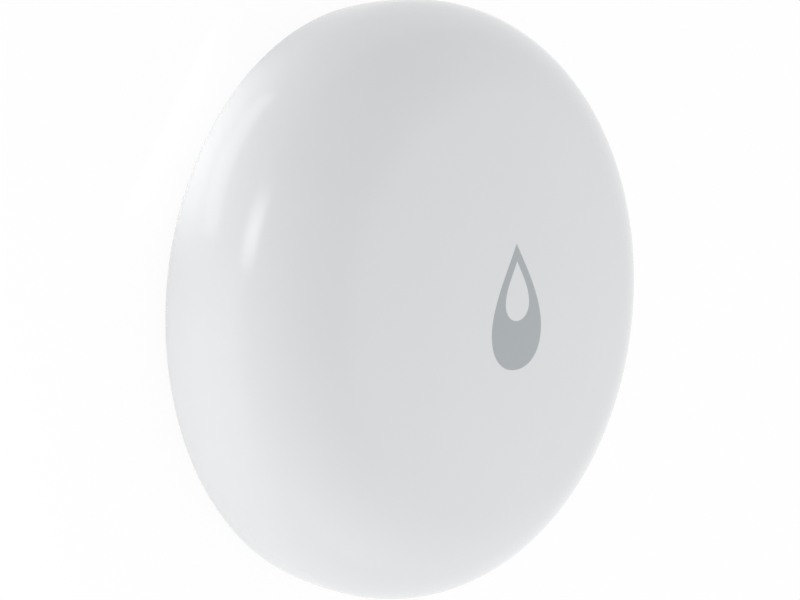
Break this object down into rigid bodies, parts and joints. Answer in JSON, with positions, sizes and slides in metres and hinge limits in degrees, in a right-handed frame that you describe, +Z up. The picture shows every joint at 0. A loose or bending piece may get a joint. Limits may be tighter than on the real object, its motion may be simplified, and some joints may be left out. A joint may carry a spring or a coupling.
{
  "type": "water leak sensor",
  "caption": "Round domed puck that stands on the floor and reports water between metal probes on its underside; coin-turned battery door, press button under a printed drop.",
  "frame": {"origin": "on the puck's axis, in the plane of its four feet", "axes": "+Z up along the puck's axis; +Y the way the printed drop's tip points, which is also the side of the left probe; +X to the drop's right"},
  "size_m": [0.05, 0.05, 0.0166],
  "materials": {
    "gloss_white": "moulded gloss",
    "satin_white": "moulded satin",
    "seal_rubber": "moulded silicone",
    "cell_steel": "pressed",
    "cell_plastic": "moulded",
    "spring_steel": "nickel plated",
    "probe_steel": "polished stainless",
    "standoff_brass": "turned",
    "board_green": "solder mask",
    "screw_steel": "zinc plated",
    "chip_black": "moulded",
    "capacitor_tan": "ceramic",
    "trace_copper": "printed copper",
    "led_clear": "clear lens",
    "stem_clear": "clear polycarbonate"
  },
  "bodies": {
    "housing": {"top_cover": "gloss_white", "base_housing": "satin_white", "housing_seal": "seal_rubber", "coin_cell_can": "cell_steel", "coin_cell_gasket": "cell_plastic", "coin_cell_cap": "cell_steel", "negative_contact": "spring_steel", "positive_contact": "spring_steel", "left_probe_screw": "probe_steel", "right_probe_screw": "probe_steel", "left_probe_seal": "seal_rubber", "right_probe_seal": "seal_rubber", "left_probe_standoff": "standoff_brass", "right_probe_standoff": "standoff_brass", "circuit_board": "board_green", "board_screws": "screw_steel", "radio_chip": "chip_black", "crystal": "cell_steel", "chip_capacitors": "capacitor_tan", "chip_resistors": "chip_black", "antenna_trace": "trace_copper", "status_led": "led_clear", "switch_base": "chip_black", "switch_frame": "cell_steel", "switch_dome": "spring_steel"},
    "battery_door": {"battery_cover": "satin_white", "battery_cover_seal": "seal_rubber"},
    "button": {"button_stem": "stem_clear", "switch_plunger": "chip_black"}
  },
  "joints": [
    {"name": "battery_cover_turn", "type": "hinge", "parent": "housing", "child": "battery_door", "pos_m": [0, 0, 0.002], "axis": [0, 0, -1], "range_deg": [0, 45]},
    {"name": "button_press", "type": "slide", "parent": "housing", "child": "button", "axis": [0, 0, -1], "range_m": [0, 0.00025], "stiffness_N_per_m": 1600, "deforming": ["switch_dome"]}
  ]
}
